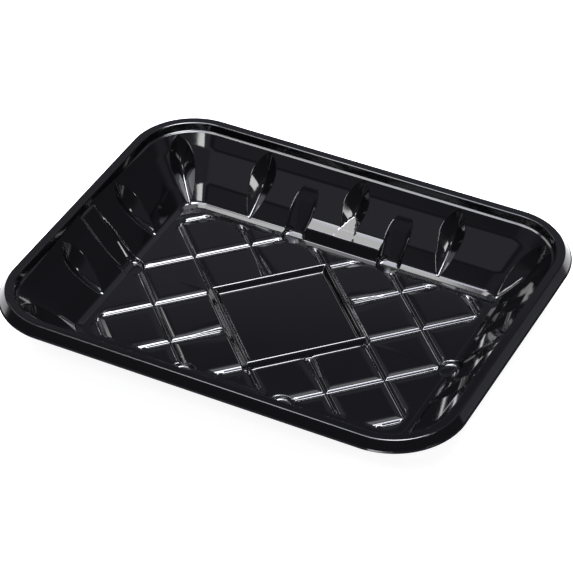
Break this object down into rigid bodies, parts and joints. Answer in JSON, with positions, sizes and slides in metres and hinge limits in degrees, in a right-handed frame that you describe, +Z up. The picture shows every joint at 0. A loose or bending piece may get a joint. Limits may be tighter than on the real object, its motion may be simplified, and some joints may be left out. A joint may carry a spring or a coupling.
{
  "type": "plastic meat tray",
  "caption": "Glossy black formed-sheet meat tray: flat rim with a turned-down skirt, fluted sloping walls, six hollow feet and a floor with a diagonal lattice of grooves round a raised diamond.",
  "frame": {"origin": "centre of the ground plane under the tray's six feet", "axes": "+X along the long side, +Y along the short side, +Z up out of the open top"},
  "size_m": [0.2284, 0.1794, 0.0315],
  "materials": {
    "black_plastic": "high gloss, smooth, formed sheet"
  },
  "bodies": {
    "root": {"tray": "black_plastic"}
  },
  "joints": []
}
